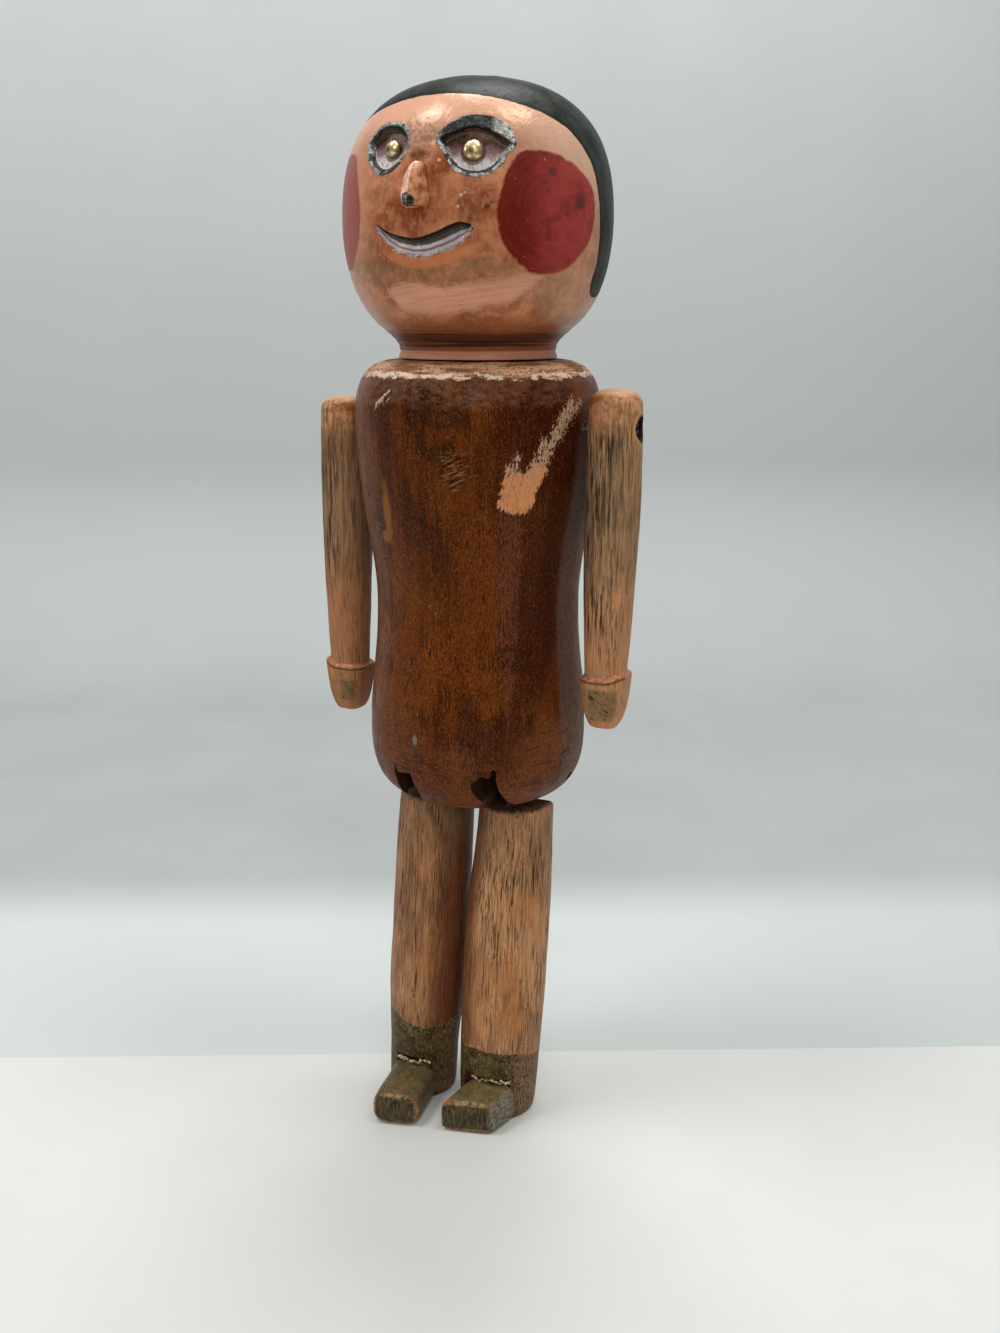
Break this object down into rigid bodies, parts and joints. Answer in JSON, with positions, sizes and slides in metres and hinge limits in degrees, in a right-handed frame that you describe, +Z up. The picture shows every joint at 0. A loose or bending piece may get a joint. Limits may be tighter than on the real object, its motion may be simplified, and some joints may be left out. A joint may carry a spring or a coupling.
{
  "type": "jointed wooden doll",
  "caption": "Standing turned-wood doll with a carved and painted face, arms that swing on shoulder screws and legs that swing on a cross pin at the hips.",
  "frame": {"origin": "on the floor, in the middle of the rectangle that the doll covers when it stands", "axes": "+Z up, the doll faces -Y and its own left side is +X"},
  "size_m": [0.087, 0.0688, 0.26],
  "materials": {
    "varnished_wood": "old brown varnish, glossy where it isn't worn",
    "head_paint": "glossy flesh-coloured paint with dark green-grey hair and dark red cheeks",
    "limb_paint": "worn flesh-coloured paint over grey-brown wood grain",
    "boot_paint": "worn olive-brown paint, rubbed to bare wood on the edges",
    "bare_wood": "bare wood",
    "eye_brass": "dull polish",
    "old_steel": "dark with age",
    "glue": "dried glue"
  },
  "bodies": {
    "torso": {"torso": "varnished_wood", "neck_dowel": "bare_wood", "hip_pin": "old_steel", "head": "head_paint", "nose_peg": "head_paint", "right_eye_pin": "eye_brass", "left_eye_pin": "eye_brass", "right_shoulder_screw": "old_steel", "left_shoulder_screw": "old_steel"},
    "right_arm": {"right_arm": "limb_paint"},
    "left_arm": {"left_arm": "limb_paint"},
    "right_leg": {"right_leg": "limb_paint", "right_foot": "boot_paint", "right_foot_peg": "bare_wood", "right_ankle_filler": "glue"},
    "left_leg": {"left_leg": "limb_paint", "left_foot": "boot_paint", "left_foot_peg": "bare_wood", "left_ankle_filler": "glue"}
  },
  "joints": [
    {"name": "right_shoulder", "type": "hinge", "parent": "torso", "child": "right_arm", "pos_m": [-0.0369, 0.00175, 0.1793], "axis": [-1, 0, 0], "range_deg": [-155, 170]},
    {"name": "left_shoulder", "type": "hinge", "parent": "torso", "child": "left_arm", "pos_m": [0.0369, -0.00245, 0.183], "axis": [-1, 0, 0], "range_deg": [-155, 170]},
    {"name": "right_hip", "type": "hinge", "parent": "torso", "child": "right_leg", "pos_m": [-0.0115, 0.00255, 0.0929], "axis": [-1, 0, 0], "range_deg": [-25, 10]},
    {"name": "left_hip", "type": "hinge", "parent": "torso", "child": "left_leg", "pos_m": [0.0115, 0.00255, 0.0929], "axis": [-1, 0, 0], "range_deg": [-25, 10]}
  ]
}
